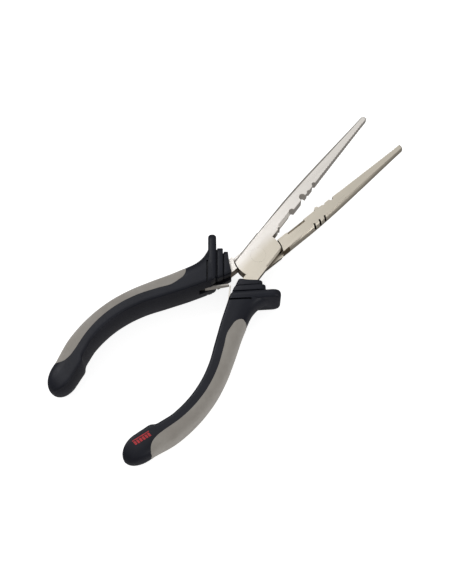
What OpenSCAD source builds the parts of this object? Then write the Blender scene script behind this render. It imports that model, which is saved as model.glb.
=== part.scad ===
// Long-nose fishing pliers: two steel halves on a flush rivet, two leaf springs that push
// the handles apart, and two-part moulded grips with thumb guards.
// The pivot axis is the Z axis, the jaws point along +X and the tool lies flat.
// Each half is drawn in its closed place and then swung open by half the opening.

/* [Opening] */
// Angle between the jaws as the springs leave them
open_angle = 13.4; // [0:0.1:30]

/* [Joint] */
// Thickness of the two laps together
joint_t = 7; // [6.5:0.1:8.5]
// Half width of the joint across the jaws
joint_half_w = 7.5; // [7:0.1:8.5]
// Radius of the round ends of each lap
lap_r = 12; // [11:0.1:13]
// Gap between a lap's round end and the shoulder behind it
lap_gap = 0.6; // [0.2:0.05:0.8]
// Radius of the rivet's shank
rivet_r = 3; // [2:0.1:4]
// Radius of the rivet's flush head
rivet_head_r = 3.8; // [3.2:0.1:5]

/* [Jaws] */
// Distance from the pivot to the jaw tips
jaw_l = 95.2; // [85:0.1:105]
// Half of the gap that stays between the closed jaw faces
face_gap = 0.05; // [0.02:0.01:0.2]
// Pitch of the cross teeth on the gripping faces
tooth_pitch = 1.6; // [1.2:0.1:3]
// Depth of the cross teeth
tooth_depth = 0.35; // [0.2:0.05:0.6]
// Distance from the pivot to the crimping tooth
crimp_x = 38.6; // [36:0.1:41]

/* [Grips] */
// Distance from the pivot to the end of the handles
grip_end = 120.5; // [116:0.5:126]
// Half height of the grips
grip_half_h = 10.5; // [9:0.1:12]
// Depth of the soft inserts in the grips
insert_depth = 1.8; // [1:0.1:2.4]
// Angle in plan of the thumb guards and the ribs in front of them
guard_angle = 50; // [45:1:55]

/* [Springs] */
// Thickness of the spring strip
leaf_t = 0.7; // [0.4:0.05:1]
// Length of a leaf from its pin to its tip
leaf_l = 18.7; // [18:0.1:19]
// Width of a leaf at its pin
leaf_root_w = 4.8; // [4:0.1:5]
// Width of a leaf at its tip
leaf_tip_w = 2.6; // [2:0.1:4]
// Radius of the spring pins
leaf_pin_r = 0.8; // [0.6:0.05:1]

/* [Hidden] */
$fn = 64;

swing = open_angle / 2;
half_t = joint_t / 2;
lap_split = 0.03;            // each lap stays this far from the mid plane
running_gap = 0.04;          // radial clearance of everything that turns on a pin
bar_half_t = 2.5;            // half thickness of the tang inside the grip
leaf_pin_at = [-36.5, 7.65];  // pin of the left leaf, closed
leaf_rest_angle = -31.05;    // direction of the left leaf with the left half closed
leaf_slot_half = 2.6;        // half height of the slot that a leaf swings in
leaf_slot_from = -40;        // direction of the slot's rear side
leaf_slot_to = -17;          // direction of the slot's front side
edge_chamfer = 0.8;          // chamfer along the outer edges of the laps
mark_depth = 0.3;            // depth of the printed bar on the right grip

// ---- curves -----------------------------------------------------------------------
// A smooth curve through a few knots [u, value], read at u.
function knot_slope(k, j) = let(a = max(j - 1, 0), b = min(j + 1, len(k) - 1))
    (k[b][1] - k[a][1]) / (k[b][0] - k[a][0]);
function knot_span(k, u) = max([for (j = [0 : len(k) - 2]) if (j == 0 || u >= k[j][0]) j]);
function curve(k, u) = let(
    j = knot_span(k, u), du = k[j + 1][0] - k[j][0], t = (u - k[j][0]) / du)
    k[j][1] * (1 + 2 * t) * pow(1 - t, 2) + knot_slope(k, j) * du * t * pow(1 - t, 2)
    + k[j + 1][1] * t * t * (3 - 2 * t) - knot_slope(k, j + 1) * du * t * t * (1 - t);

// A closed solid through rings of the same number of points.
module loft(rings) {
    n = len(rings[0]);
    m = len(rings);
    polyhedron(
        points = [for (r = rings) for (p = r) p],
        faces = concat(
            [[for (i = [0 : n - 1]) i]],
            [for (j = [0 : m - 2]) for (i = [0 : n - 1]) let(k = (i + 1) % n)
                [j * n + i, (j + 1) * n + i, j * n + k]],
            [for (j = [0 : m - 2]) for (i = [0 : n - 1]) let(k = (i + 1) % n)
                [j * n + k, (j + 1) * n + i, (j + 1) * n + k]],
            [[for (i = [n - 1 : -1 : 0]) (m - 1) * n + i]]));
}

// ---- places -----------------------------------------------------------------------
// Left handle pieces belong to the lower half, right handle pieces to the upper one.
module open_left() rotate([0, 0, -swing]) children();
module open_right() rotate([0, 0, swing]) mirror([0, 1, 0]) children();

// ---- steel halves -----------------------------------------------------------------
jaw_back_w = [[0, joint_half_w], [12, 7.6], [30, 7.5], [40, 7.1], [50, 6.5], [60, 5.7],
              [70, 4.9], [80, 4], [95, 2.8]];
jaw_half_h = [[0, half_t], [14, half_t], [30, 3.5], [50, 3.2], [70, 2.7], [95, 2.2]];
jaw_bulge = [[0, 0.6], [12, 1], [30, 1.6], [60, 1.5], [95, 0.8]];
jaw_stations = [8, 12, 16, 20, 25, 30, 35, 40, 45, 50, 56, 62, 68, 74, 80, 86, 91,
                jaw_l - 0.8, jaw_l - 0.3, jaw_l];

// A jaw's section: flat sides, a flat gripping face, and a back that bulges in the middle.
function jaw_ring(x) = let(
    past = max(0, x - jaw_l + 0.8) / 0.8,
    k = 1 - 0.16 * past * past,
    b = curve(jaw_back_w, x) * k, h = curve(jaw_half_h, x) * k, d = curve(jaw_bulge, x))
    concat([[x, face_gap, -h]],
           [for (s = [-1, -0.75, -0.5, -0.25, 0, 0.25, 0.5, 0.75, 1])
               [x, face_gap + b - d * s * s, h * s]],
           [[x, face_gap, h]]);

// Cuts along the gripping face, with the blade side up or down.
module jaw_face_cuts(up) {
    cutter_from = 18.5;
    cutter_to = 29.6;
    translate([cutter_from, 0, 0]) rotate([90, 0, 90]) linear_extrude(cutter_to - cutter_from)
        union() {
            polygon([[-1, up * 2.2], [face_gap, up * 2.2], [3, up * 5], [-1, up * 5]]);
            polygon([[-1, up * 1.9], [face_gap, up * 1.9], [0.95, up * 0.9],
                     [0.95, -up * 5], [-1, -up * 5]]);
        }
    translate([47.8, 0, -5]) cylinder(r = 1.15, h = 10);
    translate([42.8, -0.3, -5]) cylinder(r = 0.9, h = 10);
    for (x = [54 : tooth_pitch : jaw_l - 3])
        translate([x, face_gap, -5]) cylinder(r = tooth_depth, h = 10, $fn = 4);
}

// The tang: a full-thickness root with the spring slot, and a thinner bar in the grip.
function grip_mid(u) = (curve(grip_inner, u) + curve(grip_outer, u)) / 2;
module tang_shape() {
    linear_extrude(joint_t, center = true) polygon(concat(
        [[-2, joint_half_w], [-14, joint_half_w], [-19.5, 9.2]],
        [for (u = [26 : 4 : 42]) [-u, grip_mid(u) + 1.8]],
        [[-42, grip_mid(42) - 2.6], [-38.5, 6.9], [-36.5, 6], [-31, 4.9], [-25, 3.3],
         [-18.5, 2.2], [-17, 1.3], [-8, 1.3]]));
    linear_extrude(2 * bar_half_t, center = true) polygon(concat(
        [for (u = [40 : 4 : 104]) [-u, grip_mid(u) + 1.8]],
        [for (u = [104 : -4 : 40]) [-u, grip_mid(u) - 2.6]]));
}

// The slot that a leaf swings in, from its pin out through the inner side.
module leaf_slot() translate([leaf_pin_at.x, leaf_pin_at.y, -leaf_slot_half])
    linear_extrude(2 * leaf_slot_half) union() {
        circle(r = 1.8);
        polygon([1.2 * [cos(leaf_slot_from - 90), sin(leaf_slot_from - 90)],
                 28 * [cos(leaf_slot_from), sin(leaf_slot_from)],
                 26 * [cos(leaf_slot_to), sin(leaf_slot_to)],
                 1.2 * [cos(leaf_slot_to + 90), sin(leaf_slot_to + 90)]]);
    }

// One half as the top layer, closed: its jaw on +Y and its tang on -Y.
module half_body() difference() {
    union() {
        intersection() {
            translate([0, 0, lap_split]) cylinder(r = lap_r, h = half_t - lap_split, $fn = 128);
            rotate([90, 0, 90]) linear_extrude(40, center = true) polygon([
                [-joint_half_w, 0], [joint_half_w, 0], [joint_half_w, half_t - edge_chamfer],
                [joint_half_w - edge_chamfer, half_t], [edge_chamfer - joint_half_w, half_t],
                [-joint_half_w, half_t - edge_chamfer]]);
        }
        loft([for (x = jaw_stations) jaw_ring(x)]);
        mirror([0, 1, 0]) tang_shape();
    }
    translate([0, 0, -joint_t]) cylinder(r = lap_r + lap_gap, h = joint_t + lap_split, $fn = 128);
    mirror([0, 1, 0]) {
        leaf_slot();
        translate([leaf_pin_at.x, leaf_pin_at.y, -joint_t])
            cylinder(r = leaf_pin_r, h = 2 * joint_t);
    }
}

module upper_half() color("lightgray") rotate([0, 0, swing]) difference() {
    half_body();
    rivet_shape(running_gap);
    jaw_face_cuts(1);
    translate([crimp_x, 0.6, -5]) cylinder(r = 1.7, h = 10);
    translate([28.9, 0.2, -5]) cylinder(r = 1.5, h = 10);
    translate([17.6, 0, -5]) cylinder(r = 0.7, h = 10);
}

module lower_half() color("silver") rotate([180, 0, -swing]) difference() {
    union() {
        half_body();
        translate([crimp_x, 0, -3]) cylinder(r = 1.3, h = 6);
    }
    rivet_shape(0);
    jaw_face_cuts(-1);
    for (x = [32.3, 35.7, 39.1]) translate([x, 5.1, -5]) rotate([0, 0, 18])
        translate([-0.5, 0, 0]) cube([1, 5, 5.6]);
}

// The rivet, with a wider clearance where the upper half turns on it.
module rivet_shape(gap) rotate_extrude() polygon([
    [0, -half_t], [rivet_head_r + gap, -half_t], [rivet_r + gap, -half_t + 0.8],
    [rivet_r + gap, half_t - 0.8 - gap], [rivet_head_r + gap, half_t], [0, half_t]]);

module pivot_rivet() color("silver") rivet_shape(0);

// ---- grips ------------------------------------------------------------------------
// Plan edges and half height of the left grip, against the distance behind the pivot.
grip_inner = [[17, 0.4], [22, 1.5], [26, 2.3], [31, 4], [36, 5.7], [40, 7.1], [50, 11],
              [60, 14.9], [70, 17.2], [80, 17.7], [90, 16.3], [96, 14.1], [99, 12.7],
              [100.8, 10.8], [104, 9.5], [110, 7.3]];
grip_outer = [[17, 18], [19.5, 16.9], [22, 16.1], [25, 15.7], [28, 15.9], [32, 16.8],
              [40, 19], [50, 22.3], [60, 25.2], [70, 27], [80, 27.4], [90, 26.5],
              [100, 24.2], [110, 19.9]];
// The half height is level along the middle and falls away towards both ends.
function grip_height(u) = grip_half_h - 0.0011 * pow(max(0, u - 70), 2)
    - 0.002 * pow(max(0, 36 - u), 2);
round_from = 110;
round_stations = [0.2, 0.4, 0.6, 0.76, 0.88, 0.95, 0.99];
grip_stations = concat([for (u = [17 : 2.5 : 37]) u], [for (u = [40.5 : 3.5 : 93]) u],
    [96, 98, 99.2, 100.4, 101.6, 103, 105, 107.5], [round_from],
    [for (t = round_stations) round_from + t * (grip_end - round_from)]);

// One section: a crisp inner edge, a level land, and an outer side that is full above the
// middle and an ellipse below it. Inset shrinks it.
function grip_ring(u, inset) = let(
    t = max(0, u - round_from) / (grip_end - round_from),
    v = min(u, round_from),
    f = sqrt(1 - t * t),
    g = pow(1 - pow(t, 3), 0.45),
    mid = grip_mid(v) - 2.2 * t,
    half_w = (curve(grip_outer, v) - curve(grip_inner, v)) / 2 * f,
    yi = mid - half_w + min(inset, half_w / 2), yo = mid + half_w - min(inset, half_w / 2),
    h = grip_height(v) * g - inset,
    w = yo - yi, ri = min(1.2, 0.15 * w), yc = yi + 0.38 * w, e = 2 / 3.4,
    land = [for (a = [180, 135, 90]) [yi + ri + ri * cos(a), h - ri + ri * sin(a)]],
    above = [for (a = [90 : -15 : 15]) [yc + (yo - yc) * pow(cos(a), e), h * pow(sin(a), e)]],
    below = [for (a = [0 : -15 : -90]) [yc + (yo - yc) * cos(a), h * sin(a)]])
    [for (p = concat([[yi - 0.8 * f, 0]], land, above, below,
                     [for (i = [2, 1, 0]) [land[i].x, -land[i].y]])) [-u, p.x, p.y]];
module grip_loft(inset = 0) loft([for (u = grip_stations) grip_ring(u, inset)]);

// A plate across the handle at the guard's angle, between two distances from the pivot.
module guard_plate(t_front, t_back, reach, h, r) translate([0, t_back, 0])
    rotate([90, 0, 0]) linear_extrude(t_back - t_front) union() {
        translate([-24, -h]) square([24 + reach - r, 2 * h]);
        translate([-24, -h + r]) square([24 + reach, 2 * (h - r)]);
        for (s = [-1, 1]) translate([reach - r, s * (h - r)]) circle(r = r);
    }

// The guard has a round end in plan; the ribs in front of it step down to the joint.
module guard_block() difference() {
    rotate([0, 0, guard_angle]) union() {
        intersection() {
            guard_plate(20.6, 24.6, 9.4, 10.1, 4);
            translate([0, 0, -15]) linear_extrude(30) union() {
                translate([-24, 20.6]) square([24 + 7.5, 4]);
                translate([7.5, 22.7]) circle(r = 1.9);
            }
        }
        guard_plate(17.4, 21, 2.3, 8.6, 2.5);
        difference() {
            guard_plate(12.8, 17.6, 0.95, 7.3, 2.5);
            translate([0.95, 14.9, -20]) rotate([0, 0, 7.5]) translate([-60, -20, 0])
                cube([120, 20, 40]);
        }
    }
    translate([0, 0, -20]) linear_extrude(40) polygon([[5, -40], [5, 0.4], [-17, 0.4],
        [-25, 2.1], [-27, 2.6], [-31, 4], [-36, 5.6], [-60, 5.6], [-60, -40]]);
}

// Plan area of the soft insert: a round front end, then the long edge to the tail.
insert_edge = [[38, 12.8], [44, 13.4], [50, 16], [60, 19.8], [70, 21.9], [80, 22.2], [90, 20.7],
               [100, 17.5], [104, 16.6], [108, 17], [113, 20.5]];
module insert_area() translate([0, 0, -15]) linear_extrude(30) polygon(concat(
    [for (a = [0 : -15 : -75]) [-38 + 5.7 * cos(a), 18.5 + 5.7 * sin(a)]],
    [for (u = [38 : 3 : 113]) [-u, curve(insert_edge, u)]],
    [[-113, 40], [-32.3, 40]]));

// The printed bar at the end of the right grip.
module mark_area() translate([-108.3, 11.7, 0]) rotate([0, 0, 22]) linear_extrude(15)
    translate([-4.5, -1.3]) square([9, 2.6]);

// The shell: handle, guard and ribs, less the bed of the insert, the groove behind the
// guard, the tang and the spring slot.
module grip_body() color("#26272b") difference() {
    union() {
        intersection() {
            grip_loft();
            rotate([0, 0, guard_angle]) translate([-100, 23, -15]) cube([200, 140, 30]);
        }
        guard_block();
    }
    difference() {
        insert_area();
        grip_loft(insert_depth);
    }
    rotate([0, 0, guard_angle]) for (z = [-1, 1])
        translate([-34.7, 24.6, z * 10.6 - 2]) cube([29.5, 0.8, 4]);
    tang_shape();
    leaf_slot();
}

module insert_body() color("#9b968f") difference() {
    intersection() {
        grip_loft();
        insert_area();
    }
    grip_loft(insert_depth);
}

module mark_body() difference() {
    intersection() {
        grip_loft();
        mark_area();
    }
    grip_loft(mark_depth);
}

module left_grip() open_left() grip_body();
module right_grip() open_right() difference() {
    grip_body();
    difference() {
        mark_area();
        grip_loft(mark_depth);
    }
}
module left_insert() open_left() insert_body();
module right_insert() open_right() insert_body();
module red_mark() color("#b9282d") open_right() mark_body();

// ---- springs ----------------------------------------------------------------------
module leaf_body() translate([leaf_pin_at.x, leaf_pin_at.y, 0]) rotate([0, 0, leaf_rest_angle])
    difference() {
        union() {
            cylinder(r = 1.5, h = leaf_root_w, center = true);
            translate([0, leaf_t / 2, 0]) rotate([90, 0, 0]) linear_extrude(leaf_t)
                polygon([[0, -leaf_root_w / 2], [leaf_l, -leaf_tip_w / 2],
                         [leaf_l, leaf_tip_w / 2], [0, leaf_root_w / 2]]);
        }
        cylinder(r = leaf_pin_r + running_gap, h = 10, center = true);
    }
module leaf_pin_body() translate([leaf_pin_at.x, leaf_pin_at.y, 0])
    cylinder(r = leaf_pin_r, h = joint_t, center = true);

module left_leaf() color("gray") open_left() leaf_body();
module right_leaf() color("gray") open_right() leaf_body();
module left_leaf_pin() color("silver") open_left() leaf_pin_body();
module right_leaf_pin() color("silver") open_right() leaf_pin_body();

lower_half();
upper_half();
pivot_rivet();
left_grip();
right_grip();
left_insert();
right_insert();
left_leaf();
right_leaf();
left_leaf_pin();
right_leaf_pin();
red_mark();
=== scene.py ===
"""Long-nose fishing pliers, lying open on a white floor. Lengths are in metres.

The steel parts are the CAD nodes themselves, and the halves and leaf springs have eased edges.
The grips, their soft inserts and the printed mark are finer meshes that replace the plain CAD
nodes.
"""

import math

import bmesh
import bpy
from mathutils import Matrix, Vector


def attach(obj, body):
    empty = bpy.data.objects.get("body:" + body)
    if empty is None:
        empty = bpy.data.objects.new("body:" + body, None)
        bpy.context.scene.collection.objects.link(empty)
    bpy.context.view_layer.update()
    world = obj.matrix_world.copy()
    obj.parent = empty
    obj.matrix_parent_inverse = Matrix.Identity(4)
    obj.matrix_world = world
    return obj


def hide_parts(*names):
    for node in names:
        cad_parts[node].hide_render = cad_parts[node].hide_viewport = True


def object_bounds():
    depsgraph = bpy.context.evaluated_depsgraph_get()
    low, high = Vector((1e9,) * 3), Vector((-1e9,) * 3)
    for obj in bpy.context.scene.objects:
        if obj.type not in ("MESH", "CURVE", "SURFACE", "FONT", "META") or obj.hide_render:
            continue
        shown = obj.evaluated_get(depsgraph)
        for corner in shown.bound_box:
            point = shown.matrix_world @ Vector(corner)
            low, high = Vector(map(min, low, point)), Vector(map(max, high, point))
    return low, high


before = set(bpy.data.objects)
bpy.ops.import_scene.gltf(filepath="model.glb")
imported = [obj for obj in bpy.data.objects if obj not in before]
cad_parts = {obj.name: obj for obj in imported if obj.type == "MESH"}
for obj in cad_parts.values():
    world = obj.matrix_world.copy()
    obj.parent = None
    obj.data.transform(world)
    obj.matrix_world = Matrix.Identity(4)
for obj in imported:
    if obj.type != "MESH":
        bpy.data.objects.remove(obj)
cad_box = [list(corner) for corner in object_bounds()]
scene = bpy.context.scene
scene.view_settings.view_transform = "Standard"

# ---- the grip's own dimensions, in millimetres, with the handles closed ---------------
MM = 0.001
SWING = math.radians(6.7)
GUARD_ANGLE = math.radians(50)
GRIP_END = 120.5
GRIP_HALF_HEIGHT = 10.5
ROUND_FROM = 110
# Plan edges of the left grip against the distance behind the pivot.
GRIP_INNER = [(17, 0.4), (22, 1.5), (26, 2.3), (31, 4), (36, 5.7), (40, 7.1), (50, 11), (60, 14.9),
              (70, 17.2), (80, 17.7), (90, 16.3), (96, 14.1), (99, 12.7), (100.8, 10.8),
              (104, 9.5), (110, 7.3)]
GRIP_OUTER = [(17, 18), (19.5, 16.9), (22, 16.1), (25, 15.7), (28, 15.9), (32, 16.8), (40, 19),
              (50, 22.3), (60, 25.2), (70, 27), (80, 27.4), (90, 26.5), (100, 24.2), (110, 19.9)]
# Inner edge of the soft insert behind its round front end.
INSERT_EDGE = [(38, 12.8), (44, 13.4), (50, 16), (60, 19.8), (70, 21.9), (80, 22.2), (90, 20.7),
               (100, 17.5), (104, 16.6), (108, 17), (113, 20.5)]
INSERT_FRONT = (38, 18.5, 5.7)  # centre and radius of its round front end
INSERT_END = 112.8
INSERT_PROUD = 0.12
INSERT_DEPTH = 0.9
INSERT_SUNK = 0.25  # how far its border and its ends lie below the grip
LAND_SHARE = 0.38  # share of the section's width that is level
WALL_BULGE = 0.8
FULLNESS = 2 / 3.4  # power of the section's outer side above the middle
GROOVE_FROM, GROOVE_TO = 24.5, 25.4
GROOVE_FLOOR = 8.6
PIN_AT = Vector((-36.5, 7.65, 0))
SLOT_HALF_HEIGHT = 2.6
SLOT_RADIUS = 1.8
SLOT_FROM, SLOT_TO = -40, -17
MARK_AT = Vector((-108.3, 11.7, 0))
MARK_TURN = math.radians(22)

OPEN_LEFT = Matrix.Rotation(-SWING, 4, "Z")
OPEN_RIGHT = Matrix.Rotation(SWING, 4, "Z") @ Matrix.Scale(-1, 4, (0, 1, 0))
SIDES = {"left": OPEN_LEFT, "right": OPEN_RIGHT}


def spaced(start, stop, count):
    return [start + (stop - start) * i / (count - 1) for i in range(count)]


def curve(knots, u):
    """A smooth curve through the knots (u, value)."""
    last = len(knots) - 2
    j = max([i for i in range(last + 1) if i == 0 or u >= knots[i][0]])

    def slope(i):
        a, b = knots[max(i - 1, 0)], knots[min(i + 1, last + 1)]
        return (b[1] - a[1]) / (b[0] - a[0])

    (u0, v0), (u1, v1) = knots[j], knots[j + 1]
    span = u1 - u0
    t = (u - u0) / span
    return (v0 * (1 + 2 * t) * (1 - t) ** 2 + slope(j) * span * t * (1 - t) ** 2
            + v1 * t * t * (3 - 2 * t) - slope(j + 1) * span * t * t * (1 - t))


# ---- mesh helpers -----------------------------------------------------------------------
def loft(name, rings):
    """A closed solid through rings of the same number of points."""
    mesh = bpy.data.meshes.new(name)
    n = len(rings[0])
    points = [p for ring in rings for p in ring]
    faces = [list(range(n))]
    for j in range(len(rings) - 1):
        for i in range(n):
            k = (i + 1) % n
            faces.append([j * n + i, (j + 1) * n + i, (j + 1) * n + k, j * n + k])
    faces.append([(len(rings) - 1) * n + i for i in range(n - 1, -1, -1)])
    mesh.from_pydata(points, [], faces)
    return finish_mesh(name, mesh)


def finish_mesh(name, mesh):
    bm = bmesh.new()
    bm.from_mesh(mesh)
    bmesh.ops.remove_doubles(bm, verts=bm.verts, dist=1e-5)
    bmesh.ops.recalc_face_normals(bm, faces=bm.faces)
    bm.to_mesh(mesh)
    bm.free()
    piece = bpy.data.objects.new(name, mesh)
    scene.collection.objects.link(piece)
    return piece


def combine(piece, tool, operation):
    """Joins tool to piece or cuts it away, and removes tool."""
    step = piece.modifiers.new("combine", "BOOLEAN")
    step.operation = operation
    step.solver = "EXACT"
    step.object = tool
    apply_modifiers(piece)
    bpy.data.objects.remove(tool)


def apply_modifiers(piece):
    graph = bpy.context.evaluated_depsgraph_get()
    mesh = bpy.data.meshes.new_from_object(piece.evaluated_get(graph))
    piece.modifiers.clear()
    piece.data = mesh


def shade(piece, angle=32):
    """Smooth shading that keeps edges sharper than the angle crisp."""
    bm = bmesh.new()
    bm.from_mesh(piece.data)
    limit = math.radians(angle)
    for face in bm.faces:
        face.smooth = True
    for edge in bm.edges:
        edge.smooth = len(edge.link_faces) == 2 and edge.calc_face_angle(0) < limit
    bm.to_mesh(piece.data)
    bm.free()


# ---- the grip's surfaces ----------------------------------------------------------------
def grip_height(u):
    return GRIP_HALF_HEIGHT - 0.0011 * max(0, u - 70) ** 2 - 0.002 * max(0, 36 - u) ** 2


class Section:
    """The grip's section at u: a level land beside a crisp inner edge, and an outer side that
    is full above the middle and an ellipse below it."""

    def __init__(self, u):
        t = max(0, u - ROUND_FROM) / (GRIP_END - ROUND_FROM)
        v = min(u, ROUND_FROM)
        inner, outer = curve(GRIP_INNER, v), curve(GRIP_OUTER, v)
        self.u = u
        self.shrink = math.sqrt(max(0, 1 - t * t))
        half_width = (outer - inner) / 2 * self.shrink
        middle = (inner + outer) / 2 - 2.2 * t
        self.inner, self.outer = middle - half_width, middle + half_width
        self.height = grip_height(v) * (1 - t ** 3) ** 0.45
        self.land_end = self.inner + LAND_SHARE * (self.outer - self.inner)

    def outer_side(self, angle):
        """A point on the round side: 90 degrees at the top, 0 at the middle, -90 below."""
        c, s = math.cos(math.radians(angle)), math.sin(math.radians(angle))
        power = FULLNESS if angle > 0 else 1
        return (self.land_end + (self.outer - self.land_end) * max(0, c) ** power,
                self.height * math.copysign(abs(s) ** power, s))

    def angle_at(self, y):
        """The angle at which the upper round side reaches out to y."""
        low, high = 0.0, 90.0
        for _ in range(30):
            middle = (low + high) / 2
            if self.outer_side(middle)[0] > y:
                low = middle
            else:
                high = middle
        return low

    def ring(self):
        ri = min(1.2, 0.15 * (self.outer - self.inner))
        top = [(self.inner + ri + ri * math.cos(math.radians(a)),
                self.height - ri + ri * math.sin(math.radians(a))) for a in spaced(180, 90, 7)]
        top += [((1 - k) * top[-1][0] + k * self.land_end, self.height) for k in (0.3, 0.6)]
        bottom = [(y, -z) for y, z in reversed(top)]
        top += [self.outer_side(a) for a in spaced(90, -86, 45)]
        points = [(self.inner - WALL_BULGE * self.shrink, 0)] + self.wall(top[0])
        points += top + [(self.land_end, -self.height)] + bottom
        points += [(y, -z) for y, z in reversed(self.wall(top[0]))]
        return [Vector((-self.u, y, z)) for y, z in points]

    def wall(self, edge):
        """The inner side, slightly bulged between its middle and an edge."""
        bulge = WALL_BULGE * self.shrink
        return [(edge[0] - bulge * (1 - k ** 2), edge[1] * k) for k in (0.25, 0.5, 0.75)]


def handle_stations():
    tail = [ROUND_FROM + (GRIP_END - ROUND_FROM) * math.sin(math.radians(a))
            for a in spaced(5, 88, 18)]
    return spaced(17, 95, 66) + spaced(95.5, 105, 24) + spaced(106, ROUND_FROM, 5) + tail


def block_start(t):
    """Inner end of the guard and ribs, t behind the pivot across the handle."""
    return -10.6 - 0.54 * (min(t, 21) - 13.3) - 0.42 * max(0, t - 21)


def block_ring(t, inset, reach, height, corner, slant=0.0):
    """A rounded rectangle across the handle, in the guard's own frame (s, t, z)."""
    start = block_start(t) + inset
    end, top = reach - inset, height - inset
    outer_r, inner_r = max(corner - inset, 0.3), max(1.4 - inset, 0.2)
    corners = [(end - outer_r, top - outer_r, outer_r, 90, 0),
               (end - outer_r, outer_r - top, outer_r, 0, -90),
               (start + inner_r, inner_r - top, inner_r, -90, -180),
               (start + inner_r, top - inner_r, inner_r, 180, 90)]
    points = []
    for s, z, r, a0, a1 in corners:
        for a in spaced(a0, a1, 8):
            x = s + r * math.cos(math.radians(a))
            points.append(Vector((x, t + slant * (x - start), z + r * math.sin(math.radians(a)))))
    return [Matrix.Rotation(GUARD_ANGLE, 3, "Z") @ p for p in points]


def eased(t_from, t_to, easing, facing, **size):
    """Rings that round an edge off, opening towards facing 1 or closing towards -1."""
    rings = []
    for a in spaced(0, 90, 7) if facing > 0 else spaced(90, 0, 7):
        c, s = math.cos(math.radians(a)), math.sin(math.radians(a))
        t = t_from + (t_to - t_from) * (1 - c if facing > 0 else c)
        rings.append(block_ring(t, easing * (1 - s), **size))
    return rings


def grip_block():
    """Two ribs that step up to the guard, then the guard itself, as one loft."""
    rib2 = dict(reach=0.95, height=7.3, corner=2.6)
    rib1 = dict(reach=2.3, height=8.6, corner=2.8)
    guard = dict(reach=9.4, height=10.1, corner=4.0)
    rings = []
    for a in spaced(0, 90, 6):
        c, s = math.cos(math.radians(a)), math.sin(math.radians(a))
        rings.append(block_ring(13.2 + 0.6 * (1 - c), 0.6 * (1 - s), slant=0.13 * c + 0.1, **rib2))
    rings.append(block_ring(15.4, 0, slant=0.04, **rib2))
    rings += eased(16.5, 16.95, 0.45, -1, **rib2)
    rings.append(block_ring(17.05, 0.75, **rib2))
    rings.append(block_ring(17.3, 0.75, **rib2))
    rings += eased(17.35, 17.85, 0.5, 1, **rib1)
    rings += eased(19.75, 20.15, 0.45, -1, **rib1)
    rings.append(block_ring(20.3, 0.7, **rib1))
    rings.append(block_ring(20.55, 0.7, **rib1))
    rings += eased(20.6, 22.3, 1.5, 1, **guard)
    rings += eased(22.9, 24.6, 1.5, -1, **guard)
    return loft("grip_block", rings)


def slot_cutter():
    """The space a leaf spring swings in."""
    places = [(SLOT_RADIUS, a) for a in spaced(SLOT_TO + 40, SLOT_FROM + 320, 15)]
    places += [(28, SLOT_FROM), (26, SLOT_TO)]
    outline = [Vector((r * math.cos(math.radians(a)), r * math.sin(math.radians(a)), 0))
               for r, a in places]
    up = Vector((0, 0, SLOT_HALF_HEIGHT))
    return loft("slot", [[PIN_AT + p - up for p in outline], [PIN_AT + p + up for p in outline]])


def groove_cutter(side):
    """The groove between the guard and the level panel behind it."""
    low, high = sorted((side * GROOVE_FLOOR, side * 12))
    turn = Matrix.Rotation(GUARD_ANGLE, 3, "Z")
    ring = [(-34.7, GROOVE_FROM), (-5.4, GROOVE_FROM), (-5.1, GROOVE_FROM + 0.2),
            (-5.1, GROOVE_TO - 0.2), (-5.4, GROOVE_TO), (-34.7, GROOVE_TO)]
    return loft("groove", [[turn @ Vector((s, t, z)) for s, t in ring] for z in (low, high)])


def build_grip():
    """The handle behind a plane across it, joined to its guard and cut for groove and leaf."""
    handle = loft("handle", [Section(u).ring() for u in handle_stations()])
    turn = Matrix.Rotation(GUARD_ANGLE, 3, "Z")
    bm = bmesh.new()
    bm.from_mesh(handle.data)
    cut = bmesh.ops.bisect_plane(bm, geom=bm.verts[:] + bm.edges[:] + bm.faces[:], dist=1e-6,
                                 plane_co=turn @ Vector((0, 23, 0)),
                                 plane_no=turn @ Vector((0, -1, 0)), clear_outer=True)
    edges = [e for e in cut["geom_cut"] if isinstance(e, bmesh.types.BMEdge)]
    bmesh.ops.holes_fill(bm, edges=edges)
    bmesh.ops.recalc_face_normals(bm, faces=bm.faces)
    bm.to_mesh(handle.data)
    bm.free()
    combine(handle, grip_block(), "UNION")
    combine(handle, groove_cutter(1), "DIFFERENCE")
    combine(handle, groove_cutter(-1), "DIFFERENCE")
    combine(handle, slot_cutter(), "DIFFERENCE")
    return handle


def insert_edge_at(u):
    """Distance of the insert's inner edge from the tool's middle plane."""
    x, y, r = INSERT_FRONT
    if u < x:
        return y - math.sqrt(max(0, r * r - (x - u) ** 2))
    return curve(INSERT_EDGE, min(u, 113))


def insert_ring(u, proud):
    """The part of the section outside the insert's edge, with a skin on both faces."""
    section = Section(u)
    edge = max(insert_edge_at(u), section.land_end - 3)
    start = section.angle_at(edge)
    flat = max(0, section.land_end - edge)
    outer = []
    for a in spaced(start, -start, 40):
        y, z = section.outer_side(a)
        normal = Vector(section.outer_side(a - 0.5)) - Vector(section.outer_side(a + 0.5))
        normal = Vector((-normal.y, normal.x)).normalized()
        outer.append((Vector((y, z)), normal))
    if flat > 0.02:
        top = [(Vector((edge + flat * k, section.height)), Vector((0, 1))) for k in (0, 0.5)]
        outer = top + outer[1:-1] + [(Vector((p.x, -p.y)), Vector((0, -1))) for p, n in reversed(top)]
    else:
        outer = [outer[0]] + outer + [outer[-1]]
    skin = []
    last = len(outer) - 1
    for i, (p, n) in enumerate(outer):
        border = min(i, last - i)
        lift = proud * min(1, 0.55 * border) - (INSERT_SUNK if border == 0 else 0)
        skin.append(p + n * lift)
    core = [p - n * INSERT_DEPTH for p, n in reversed(outer)]
    return [Vector((-u, p.x, p.y)) for p in skin + core]


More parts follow.
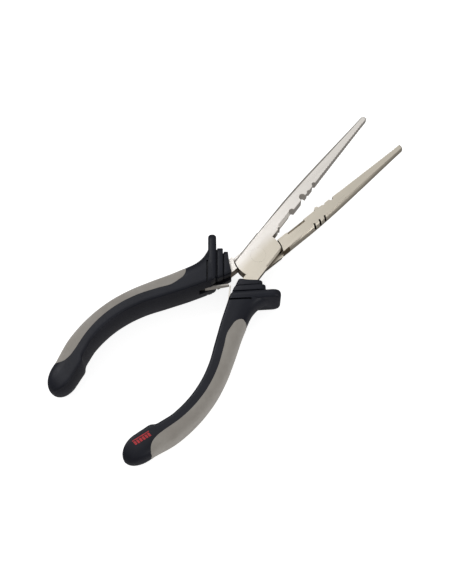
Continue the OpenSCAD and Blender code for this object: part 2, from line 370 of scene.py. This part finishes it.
def build_insert():
    stations = [32.9 + 5.3 * (1 - math.cos(math.radians(a))) for a in spaced(22, 90, 16)]
    stations += spaced(39, 111, 70) + [111.8, 112.4, INSERT_END]
    rings = []
    for i, u in enumerate(stations):
        from_end = min(i, len(stations) - 1 - i)
        proud = INSERT_PROUD * min(1, 0.5 * from_end) if from_end else -INSERT_SUNK
        rings.append(insert_ring(u, proud))
    return loft("insert", rings)


def build_mark():
    """A plain printed stripe: a long bar under a row of leaning dashes."""
    bars = [(-4.5, 4.5, -1.3, -0.85, 0.0)]
    bars += [(-4.3 + 1.48 * i, -3.25 + 1.48 * i, -0.5, 1.3, 0.35) for i in range(6)]
    mesh = bpy.data.meshes.new("mark")
    bm = bmesh.new()
    turn = Matrix.Rotation(MARK_TURN, 3, "Z")
    for x0, x1, y0, y1, lean in bars:
        columns, rows = max(2, int((x1 - x0) / 0.35)), 5
        grid = {}
        for side in (0, 1):
            for i, x in enumerate(spaced(x0, x1, columns)):
                for j, y in enumerate(spaced(y0, y1, rows)):
                    at = MARK_AT + turn @ Vector((x + lean * (y - y0) / 1.8, y, 0))
                    z = surface_height(-at.x, at.y) + (0.04 if side else -0.3)
                    grid[side, i, j] = bm.verts.new((at.x, at.y, z))
        for i in range(columns - 1):
            for j in range(rows - 1):
                quad = [(i, j), (i + 1, j), (i + 1, j + 1), (i, j + 1)]
                bm.faces.new([grid[(1,) + q] for q in quad])
                bm.faces.new([grid[(0,) + q] for q in reversed(quad)])
        rim = [(i, 0) for i in range(columns)] + [(columns - 1, j) for j in range(1, rows)]
        rim += [(i, rows - 1) for i in range(columns - 2, -1, -1)] + [(0, j) for j in range(rows - 2, 0, -1)]
        for a, b in zip(rim, rim[1:] + rim[:1]):
            bm.faces.new([grid[(0,) + a], grid[(0,) + b], grid[(1,) + b], grid[(1,) + a]])
    bm.to_mesh(mesh)
    bm.free()
    return finish_mesh("mark", mesh)


def surface_height(u, y):
    """Height of the grip's top at a place on the handle's end."""
    section = Section(u)
    if y <= section.land_end:
        return section.height
    return section.outer_side(section.angle_at(y))[1]


def place(piece, name, side):
    """A copy of piece, scaled to metres, on the opened left or right handle."""
    copy = bpy.data.objects.new(name, piece.data.copy())
    scene.collection.objects.link(copy)
    copy.data.transform(SIDES[side] @ Matrix.Scale(MM, 4))
    if side == "right":
        copy.data.flip_normals()
    return copy


# ---- materials ---------------------------------------------------------------------------
class Finish:
    """A node material with its shader and a few shortcuts."""

    def __init__(self, name, **values):
        self.material = bpy.data.materials.new(name)
        self.material.use_nodes = True
        self.tree = self.material.node_tree
        self.shader = self.tree.nodes["Principled BSDF"]
        for key, value in values.items():
            self.shader.inputs[key.replace("_", " ")].default_value = value

    def node(self, kind, **values):
        node = self.tree.nodes.new(kind)
        for key, value in values.items():
            if hasattr(node, key):
                setattr(node, key, value)
            else:
                node.inputs[key.replace("_", " ")].default_value = value
        return node

    def link(self, source, target):
        self.tree.links.new(source, target)

    def place(self, stretch=(1, 1, 1)):
        coords = self.node("ShaderNodeTexCoord")
        mapping = self.node("ShaderNodeMapping")
        mapping.inputs["Scale"].default_value = stretch
        self.link(coords.outputs["Object"], mapping.inputs["Vector"])
        return mapping.outputs["Vector"]

    def noise(self, scale, detail=3.0, stretch=(1, 1, 1), roughness=0.55):
        noise = self.node("ShaderNodeTexNoise", Scale=scale, Detail=detail, Roughness=roughness)
        self.link(self.place(stretch), noise.inputs["Vector"])
        return noise.outputs["Fac"]

    def ramp(self, source, low, high, start=0.3, end=0.7):
        ramp = self.node("ShaderNodeValToRGB")
        ramp.color_ramp.elements[0].position = start
        ramp.color_ramp.elements[0].color = (*low, 1)
        ramp.color_ramp.elements[1].position = end
        ramp.color_ramp.elements[1].color = (*high, 1)
        self.link(source, ramp.inputs["Fac"])
        return ramp.outputs["Color"]

    def bump(self, source, strength, distance, before=None):
        bump = self.node("ShaderNodeBump", Strength=strength, Distance=distance)
        self.link(source, bump.inputs["Height"])
        if before is not None:
            self.link(before, bump.inputs["Normal"])
        self.link(bump.outputs["Normal"], self.shader.inputs["Normal"])
        return bump.outputs["Normal"]

    def multiply(self, first, second):
        node = self.node("ShaderNodeVectorMath", operation="MULTIPLY")
        self.link(first, node.inputs[0])
        self.link(second, node.inputs[1])
        return node.outputs["Vector"]

    def upright_within(self, reach, x):
        """1 on upright walls less than reach from the point x of the X axis, 0 elsewhere."""
        gap = self.node("ShaderNodeVectorMath", operation="DISTANCE")
        self.link(self.place(), gap.inputs[0])
        gap.inputs[1].default_value = (x, 0, 0)
        near = self.node("ShaderNodeMath", operation="LESS_THAN")
        self.link(gap.outputs["Value"], near.inputs[0])
        near.inputs[1].default_value = reach
        normal = self.node("ShaderNodeSeparateXYZ")
        self.link(self.node("ShaderNodeNewGeometry").outputs["Normal"], normal.inputs["Vector"])
        tilt = self.node("ShaderNodeMath", operation="ABSOLUTE")
        self.link(normal.outputs["Z"], tilt.inputs[0])
        upright = self.node("ShaderNodeMath", operation="LESS_THAN")
        self.link(tilt.outputs["Value"], upright.inputs[0])
        upright.inputs[1].default_value = 0.5
        both = self.node("ShaderNodeMath", operation="MULTIPLY")
        self.link(near.outputs["Value"], both.inputs[0])
        self.link(upright.outputs["Value"], both.inputs[1])
        return both.outputs["Value"]


def grey(value):
    return (value, value, value)


def grip_black():
    """Hard moulded plastic with a fine spark-eroded texture."""
    finish = Finish("grip_black", Specular_IOR_Level=0.27)
    cloud = finish.noise(90, 4)
    finish.link(finish.ramp(cloud, (0.0045, 0.0055, 0.0105), (0.0075, 0.0088, 0.0155)),
                finish.shader.inputs["Base Color"])
    grain = finish.noise(1700, 2)
    finish.link(finish.ramp(grain, grey(0.36), grey(0.52)), finish.shader.inputs["Roughness"])
    finish.bump(grain, 0.35, 0.0001)
    return finish.material


def insert_grey():
    """Soft matt rubber, faintly mottled and handled."""
    finish = Finish("insert_grey", Specular_IOR_Level=0.3, Sheen_Weight=0.12, Sheen_Roughness=0.5)
    cloud = finish.noise(140, 5)
    finish.link(finish.ramp(cloud, (0.262, 0.241, 0.215), (0.305, 0.285, 0.257)),
                finish.shader.inputs["Base Color"])
    grain = finish.noise(2600, 2)
    finish.link(finish.ramp(grain, grey(0.55), grey(0.7)), finish.shader.inputs["Roughness"])
    finish.bump(grain, 0.25, 0.00008)
    return finish.material


def satin_steel(name, low, high, roughness, gap_shade, wall_shade, wall_shade_reach, wall_shade_x):
    """Plated steel, lightly brushed, with painted light: lighter towards +Y and darker, warmer towards -Y,
    as the light falls.
    It has painted shade in its gaps, and upright walls less than the given reach from the given point of the
    X axis carry painted shade."""
    finish = Finish(name, Metallic=1.0)
    split = finish.node("ShaderNodeSeparateXYZ")
    finish.link(finish.place(), split.inputs["Vector"])
    across = finish.node("ShaderNodeMath", operation="MULTIPLY_ADD")
    finish.link(split.outputs["Y"], across.inputs[0])
    across.inputs[1].default_value = 60
    finish.link(finish.ramp(finish.noise(60, 4), grey(0.44), grey(0.56)), across.inputs[2])
    # Painted light: the colour runs from darker and warmer at -Y to lighter at +Y, standing in for how the
    # light falls.
    painted_falloff = finish.ramp(across.outputs["Value"], low, high, 0.45, 0.72)
    # Painted shade: ambient occlusion darkens the colour in gaps and crevices where shade falls.
    gaps = finish.node("ShaderNodeAmbientOcclusion", Distance=0.003)
    gaps.samples = 8
    painted_gap_shade = finish.ramp(gaps.outputs["AO"], gap_shade, grey(1), 0.28, 0.72)
    gap_shaded = finish.multiply(painted_falloff, painted_gap_shade)
    # Painted shade: upright walls near the given point of the X axis are darkened, standing in for the shade
    # they reflect.
    painted_wall_shade = finish.ramp(finish.upright_within(wall_shade_reach, wall_shade_x), grey(1), wall_shade, 0.4, 0.6)
    finish.link(finish.multiply(gap_shaded, painted_wall_shade), finish.shader.inputs["Base Color"])
    brushed = finish.noise(900, 3, (0.06, 1, 1))
    finish.link(finish.ramp(brushed, grey(roughness[0]), grey(roughness[1])),
                finish.shader.inputs["Roughness"])
    first = finish.bump(brushed, 0.035, 0.00002)
    finish.bump(finish.noise(2400, 2), 0.03, 0.00002, first)
    return finish.material


def print_red():
    """Pad print, thin enough for the grain to show through."""
    finish = Finish("print_red", Specular_IOR_Level=0.4)
    cover = finish.noise(1500, 3)
    finish.link(finish.ramp(cover, (0.3, 0.012, 0.018), (0.5, 0.022, 0.03), 0.35, 0.6),
                finish.shader.inputs["Base Color"])
    finish.link(finish.ramp(cover, grey(0.35), grey(0.5)), finish.shader.inputs["Roughness"])
    finish.bump(cover, 0.2, 0.00005)
    return finish.material


def white_floor():
    finish = Finish("floor", Base_Color=(0.5, 0.5, 0.5, 1), Roughness=0.7,
                    Specular_IOR_Level=0.1, Emission_Color=(1, 1, 1, 1), Emission_Strength=0.83)
    return finish.material


def paint(piece, material):
    piece.data.materials.clear()
    piece.data.materials.append(material)


# ---- build ---------------------------------------------------------------------------------
black, rubber, red = grip_black(), insert_grey(), print_red()
# The gap and wall colours given here are painted shade: in gaps, and on upright walls near the joint on the
# halves and around the leaf springs.
steel = satin_steel("steel", (0.76, 0.7, 0.59), (0.98, 0.935, 0.875), roughness=(0.27, 0.33),
                    gap_shade=(0.08, 0.06, 0.045), wall_shade=(0.26, 0.22, 0.17),
                    wall_shade_reach=0.031, wall_shade_x=-0.016)
spring = satin_steel("spring_steel", (0.72, 0.68, 0.62), (0.84, 0.8, 0.74),
                     roughness=(0.28, 0.35), gap_shade=grey(0.3), wall_shade=grey(0.05),
                     wall_shade_reach=0.0702, wall_shade_x=-0.1)

BODY = {"left": "lower_side", "right": "upper_side"}
grip, insert, mark = build_grip(), build_insert(), build_mark()
for side in SIDES:
    for shape, word, slot, material in [(grip, "grip", "grip_black", black),
                                        (insert, "insert", "insert_grey", rubber)]:
        piece = place(shape, f"{side}_{word}_shell", side)
        shade(piece)
        paint(piece, material)
        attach(piece, BODY[side])
        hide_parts(f"{side}_{word}")
print_bar = place(mark, "red_print", "right")
paint(print_bar, red)
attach(print_bar, BODY["right"])
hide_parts("red_mark")
for shape in (grip, insert, mark):
    bpy.data.objects.remove(shape)


def ease_edges(name, material, width):
    """A CAD node with its material and its sharp edges slightly rounded."""
    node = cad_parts[name]
    for i in range(len(node.material_slots)):
        node.material_slots[i].material = material
    shade(node, 30)
    bevel = node.modifiers.new("eased edges", "BEVEL")
    bevel.width = width
    bevel.segments = 2
    bevel.limit_method = "ANGLE"
    bevel.angle_limit = math.radians(40)
    bevel.harden_normals = False


for name in ("upper_half", "lower_half"):
    ease_edges(name, steel, 0.00025)
for name in ("pivot_rivet", "left_leaf_pin", "right_leaf_pin"):
    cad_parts[name].material_slots[0].material = steel
for name in ("left_leaf", "right_leaf"):
    ease_edges(name, spring, 0.0001)

# ---- camera, floor and light ------------------------------------------------------------
SENSOR_WIDTH = 36
LENS = 80.137
AIM = Vector((-0.024183, -0.000936, 0))
CAMERA_DISTANCE = 0.635904
CAMERA_ELEVATION = math.radians(68.8)
CAMERA_AZIMUTH = math.radians(46.954)


def add_camera():
    flat = Vector((math.sin(CAMERA_AZIMUTH), math.cos(CAMERA_AZIMUTH), 0))
    forward = flat * math.cos(CAMERA_ELEVATION) - Vector((0, 0, math.sin(CAMERA_ELEVATION)))
    data = bpy.data.cameras.new("camera")
    data.sensor_width = SENSOR_WIDTH
    data.lens = LENS
    camera = bpy.data.objects.new("camera", data)
    scene.collection.objects.link(camera)
    camera.location = AIM - forward * CAMERA_DISTANCE
    camera.rotation_euler = forward.to_track_quat("-Z", "Y").to_euler()
    scene.camera = camera


def add_floor():
    """A wide floor at the foot of the CAD's box."""
    mesh = bpy.data.meshes.new("floor")
    z = cad_box[0][2]
    mesh.from_pydata([(-3, -3, z), (3, -3, z), (3, 3, z), (-3, 3, z)], [], [(0, 1, 2, 3)])
    floor = bpy.data.objects.new("floor", mesh)
    scene.collection.objects.link(floor)
    floor.visible_glossy = False
    paint(floor, white_floor())


def add_area(name, right, up, height, size, power, colour=(1, 1, 1)):
    """A square light, placed by its direction as the camera sees it."""
    across = Vector((math.cos(CAMERA_AZIMUTH), -math.sin(CAMERA_AZIMUTH), 0))
    ahead = Vector((math.sin(CAMERA_AZIMUTH), math.cos(CAMERA_AZIMUTH), 0))
    data = bpy.data.lights.new(name, "AREA")
    data.size = size
    data.energy = power
    data.color = colour
    lamp = bpy.data.objects.new(name, data)
    scene.collection.objects.link(lamp)
    lamp.location = across * right + ahead * up + Vector((0, 0, height))
    lamp.rotation_euler = (-lamp.location).to_track_quat("-Z", "Y").to_euler()


def add_world():
    """Soft light from all round, dim at the horizon and white overhead."""
    world = bpy.data.worlds.new("world")
    scene.world = world
    world.use_nodes = True
    sky = world.node_tree
    coords = sky.nodes.new("ShaderNodeTexCoord")
    parts = sky.nodes.new("ShaderNodeSeparateXYZ")
    fade = sky.nodes.new("ShaderNodeValToRGB")
    fade.color_ramp.elements[0].position = 0.0
    fade.color_ramp.elements[0].color = (0.34, 0.33, 0.32, 1)
    fade.color_ramp.elements[1].position = 0.6
    fade.color_ramp.elements[1].color = (1, 1, 1, 1)
    sky.links.new(coords.outputs["Generated"], parts.inputs["Vector"])
    sky.links.new(parts.outputs["Z"], fade.inputs["Fac"])
    sky.links.new(fade.outputs["Color"], sky.nodes["Background"].inputs["Color"])
    sky.nodes["Background"].inputs["Strength"].default_value = 0.6


add_camera()
add_floor()
add_area("key", -0.75, 0.35, 0.75, 0.8, 2.7, (1, 0.99, 0.97))
add_area("overhead", -0.38, 0.5, 1.0, 0.4, 2.3, (0.98, 0.99, 1.03))
add_area("side", 0.7, -0.58, 0.2, 0.35, 1.2)
add_world()
